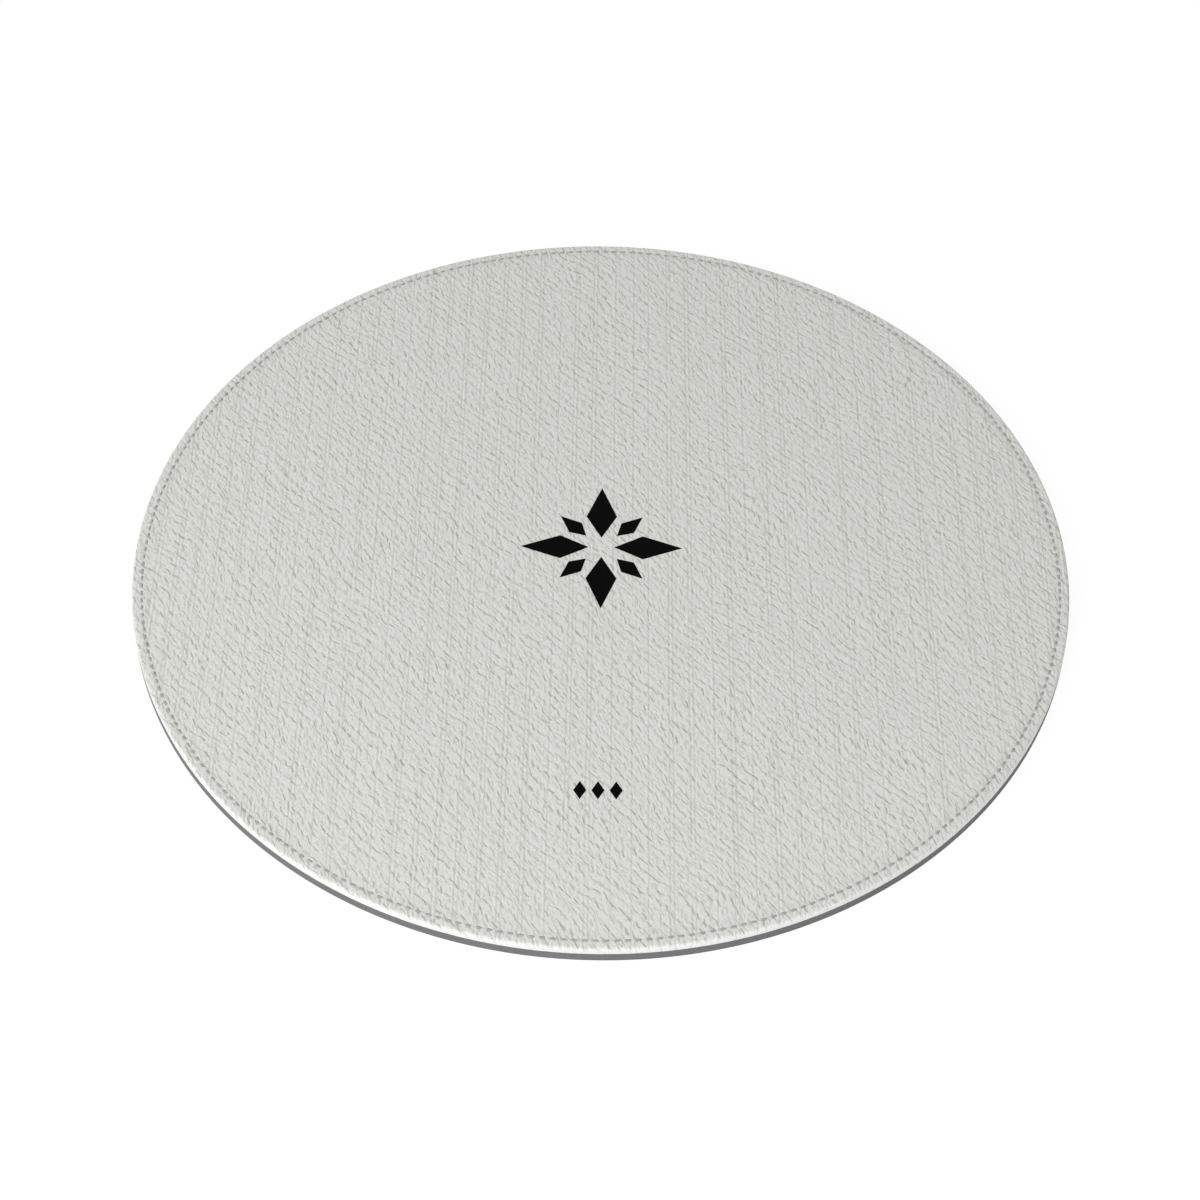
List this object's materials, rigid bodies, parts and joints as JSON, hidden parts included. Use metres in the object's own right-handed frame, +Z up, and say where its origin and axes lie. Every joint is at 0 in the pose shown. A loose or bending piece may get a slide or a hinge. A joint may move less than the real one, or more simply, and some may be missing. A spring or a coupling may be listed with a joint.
{
  "type": "mouse pad",
  "caption": "Round leather-covered mouse pad with a stitched, turned edge, a rubber base and small printed ornaments on its flat top.",
  "frame": {"origin": "middle of the flat underside of the rubber base", "axes": "+Z up through the pad's thickness, -Y towards the user's front edge, +X to the user's right"},
  "size_m": [0.23, 0.23, 0.0043],
  "materials": {
    "leather": "pale warm grey, pebbled grain with long diagonal creases, satin",
    "rubber": "dark grey, fine texture, matte",
    "thread": "grey twisted polyester thread",
    "board": "brown leatherboard sheet, matte",
    "adhesive": "thin clear laminating film",
    "print": "black transfer print, matte"
  },
  "bodies": {
    "root": {"rubber_base": "rubber", "base_adhesive": "adhesive", "core_sheet": "board", "cover_adhesive": "adhesive", "leather_cover": "leather", "needle_thread": "thread", "bobbin_thread": "thread", "star_long_point_1": "print", "star_long_point_2": "print", "star_long_point_3": "print", "star_long_point_4": "print", "star_short_point_1": "print", "star_short_point_2": "print", "star_short_point_3": "print", "star_short_point_4": "print", "front_mark_1": "print", "front_mark_2": "print", "front_mark_3": "print"}
  },
  "joints": []
}
